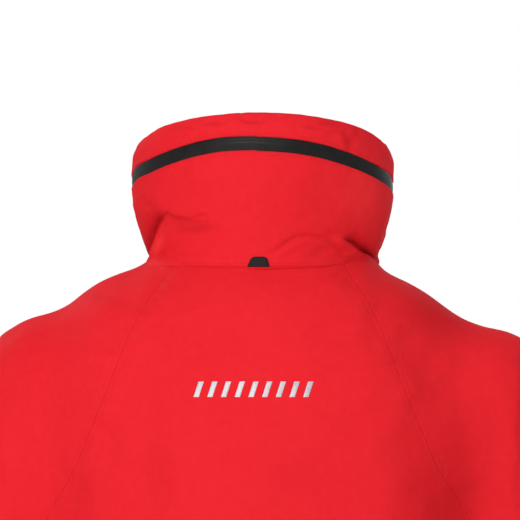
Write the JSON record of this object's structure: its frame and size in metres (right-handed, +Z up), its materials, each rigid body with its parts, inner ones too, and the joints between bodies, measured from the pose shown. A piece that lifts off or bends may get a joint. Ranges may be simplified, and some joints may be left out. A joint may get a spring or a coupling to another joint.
{
  "type": "foul weather jacket",
  "caption": "Red foul weather jacket with a stand-up collar, hood stowed behind a black coated zip, and raglan sleeves.",
  "frame": {"origin": "middle of the hem plane: hem at z = 0, centred left to right and front to back", "axes": "+Z up towards the collar, +X to the wearer's left, +Y to the wearer's back"},
  "size_m": [0.9276, 0.3001, 0.897],
  "materials": {
    "shell_fabric": "matte coated weave",
    "coated_zip": "satin",
    "zip_metal": "satin",
    "pull_rubber": "satin",
    "black_hypalon": "matte",
    "fleece": "brushed",
    "mesh_lining": "matte",
    "reflective": "retroreflective satin",
    "hook_and_loop": "matte",
    "cuff_seal": "matte",
    "cord": "braided",
    "cord_lock_plastic": "satin",
    "hanger_tape": "woven"
  },
  "bodies": {
    "torso": {"back_panel": "shell_fabric", "body_lining_back": "mesh_lining", "body_lining_left": "mesh_lining", "body_lining_right": "mesh_lining", "chest_pocket_bag": "mesh_lining", "chest_pocket_zip": "coated_zip", "chin_guard": "fleece", "collar_front_left": "shell_fabric", "collar_front_right": "shell_fabric", "collar_lining": "fleece", "collar_outer": "shell_fabric", "collar_top_band": "shell_fabric", "front_panel_left": "shell_fabric", "front_panel_right": "shell_fabric", "hand_pocket_bag_left": "mesh_lining", "hand_pocket_bag_right": "mesh_lining", "hand_pocket_left_zip": "coated_zip", "hand_pocket_right_zip": "coated_zip", "hanger_loop_anchor": "hanger_tape", "hem_cord_left": "cord", "hem_cord_right": "cord", "hood_zip_tape": "coated_zip", "inner_storm_flap": "shell_fabric", "main_zip_bottom_box": "zip_metal", "main_zip_left_side": "coated_zip", "main_zip_right_side": "coated_zip", "neck_tab": "black_hypalon", "reflective_mark": "reflective", "shoulder_panel_left": "shell_fabric", "shoulder_panel_right": "shell_fabric", "stowed_hood": "shell_fabric"},
    "main_slider": {"main_zip_slider": "zip_metal"},
    "main_pull": {"main_zip_pull": "pull_rubber"},
    "hood_slider": {"hood_zip_slider": "zip_metal"},
    "hood_pull": {"hood_zip_pull": "pull_rubber"},
    "chest_slider": {"chest_pocket_slider": "zip_metal"},
    "chest_pull": {"chest_pocket_pull": "pull_rubber"},
    "hanger": {"hanger_loop": "hanger_tape"},
    "hand_slider_left": {"hand_pocket_left_slider": "zip_metal"},
    "hand_pull_left": {"hand_pocket_left_pull": "pull_rubber"},
    "sleeve_left": {"upper_sleeve_left": "shell_fabric"},
    "forearm_left": {"lower_sleeve_left": "shell_fabric", "cuff_left": "shell_fabric", "inner_cuff_left": "cuff_seal", "cuff_loop_patch_left": "hook_and_loop"},
    "cuff_strap_left": {"cuff_tab_left": "shell_fabric"},
    "cord_lock_left": {"cord_lock_left": "cord_lock_plastic"},
    "cord_button_left": {"cord_lock_button_left": "cord_lock_plastic"},
    "hand_slider_right": {"hand_pocket_right_slider": "zip_metal"},
    "hand_pull_right": {"hand_pocket_right_pull": "pull_rubber"},
    "sleeve_right": {"upper_sleeve_right": "shell_fabric"},
    "forearm_right": {"lower_sleeve_right": "shell_fabric", "cuff_right": "shell_fabric", "inner_cuff_right": "cuff_seal", "cuff_loop_patch_right": "hook_and_loop"},
    "cuff_strap_right": {"cuff_tab_right": "shell_fabric"},
    "cord_lock_right": {"cord_lock_right": "cord_lock_plastic"},
    "cord_button_right": {"cord_lock_button_right": "cord_lock_plastic"}
  },
  "joints": [
    {"name": "main_zip", "type": "slide", "parent": "torso", "child": "main_slider", "axis": [0, -0.0229, -0.9997], "range_m": [0, 0.762]},
    {"name": "main_zip_pull_flip", "type": "hinge", "parent": "main_slider", "child": "main_pull", "pos_m": [0, -0.13834, 0.806], "axis": [-1, 0, 0], "range_deg": [0, 170]},
    {"name": "hood_zip", "type": "hinge", "parent": "torso", "child": "hood_slider", "pos_m": [0, -0.018, 0.837], "axis": [0, -0.2823, 0.9593], "range_deg": [0, 252]},
    {"name": "hood_zip_pull_flip", "type": "hinge", "parent": "hood_slider", "child": "hood_pull", "pos_m": [0.09849, -0.09019, 0.81575], "axis": [0, -0.2823, 0.9593], "range_deg": [0, 150]},
    {"name": "chest_pocket_zip_slide", "type": "slide", "parent": "torso", "child": "chest_slider", "axis": [-0.0206, -0.0215, -0.9996], "range_m": [0, 0.06514]},
    {"name": "chest_pocket_pull_flip", "type": "hinge", "parent": "chest_slider", "child": "chest_pull", "pos_m": [0.09454, -0.13615, 0.58676], "axis": [-0.9721, -0.2331, 0.025], "range_deg": [0, 160]},
    {"name": "hand_pocket_zip_slide_left", "type": "slide", "parent": "torso", "child": "hand_slider_left", "axis": [0.0451, -0.0232, -0.9987], "range_m": [0, 0.15637]},
    {"name": "hand_pocket_pull_flip_left", "type": "hinge", "parent": "hand_slider_left", "child": "hand_pull_left", "pos_m": [0.15759, -0.12123, 0.33161], "axis": [-0.8901, -0.4548, -0.0297], "range_deg": [0, 160]},
    {"name": "shoulder_left", "type": "hinge", "parent": "torso", "child": "sleeve_left", "pos_m": [0.19, 0, 0.635], "axis": [0, -1, 0], "range_deg": [0, 45]},
    {"name": "elbow_left", "type": "hinge", "parent": "sleeve_left", "child": "forearm_left", "pos_m": [0.30761, -0.03, 0.35809], "axis": [-0.9397, 0, -0.342], "range_deg": [0, 78]},
    {"name": "cuff_tab_peel_left", "type": "hinge", "parent": "forearm_left", "child": "cuff_strap_left", "pos_m": [0.42995, 0.05313, 0.10146], "axis": [-0.342, 0, 0.9397], "range_deg": [0, 120]},
    {"name": "cord_lock_slide_left", "type": "slide", "parent": "torso", "child": "cord_lock_left", "axis": [0, 0, -1], "range_m": [0, 0.038]},
    {"name": "cord_lock_press_left", "type": "slide", "parent": "cord_lock_left", "child": "cord_button_left", "axis": [0, -1, 0], "range_m": [0, 0.0026], "stiffness_N_per_m": 300},
    {"name": "hand_pocket_zip_slide_right", "type": "slide", "parent": "torso", "child": "hand_slider_right", "axis": [-0.0451, -0.0232, -0.9987], "range_m": [0, 0.15637]},
    {"name": "hand_pocket_pull_flip_right", "type": "hinge", "parent": "hand_slider_right", "child": "hand_pull_right", "pos_m": [-0.15759, -0.12123, 0.33161], "axis": [-0.8901, 0.4548, 0.0297], "range_deg": [0, 160]},
    {"name": "shoulder_right", "type": "hinge", "parent": "torso", "child": "sleeve_right", "pos_m": [-0.19, 0, 0.635], "axis": [0, 1, 0], "range_deg": [0, 45]},
    {"name": "elbow_right", "type": "hinge", "parent": "sleeve_right", "child": "forearm_right", "pos_m": [-0.30761, -0.03, 0.35809], "axis": [-0.9397, 0, 0.342], "range_deg": [0, 78]},
    {"name": "cuff_tab_peel_right", "type": "hinge", "parent": "forearm_right", "child": "cuff_strap_right", "pos_m": [-0.42995, 0.05313, 0.10146], "axis": [-0.342, 0, -0.9397], "range_deg": [0, 120]},
    {"name": "cord_lock_slide_right", "type": "slide", "parent": "torso", "child": "cord_lock_right", "axis": [0, 0, -1], "range_m": [0, 0.038]},
    {"name": "cord_lock_press_right", "type": "slide", "parent": "cord_lock_right", "child": "cord_button_right", "axis": [0, -1, 0], "range_m": [0, 0.0026], "stiffness_N_per_m": 300},
    {"name": "hanger_loop_flip", "type": "hinge", "parent": "torso", "child": "hanger", "pos_m": [0, 0.0625, 0.753], "axis": [-1, 0, 0], "range_deg": [0, 110]}
  ]
}
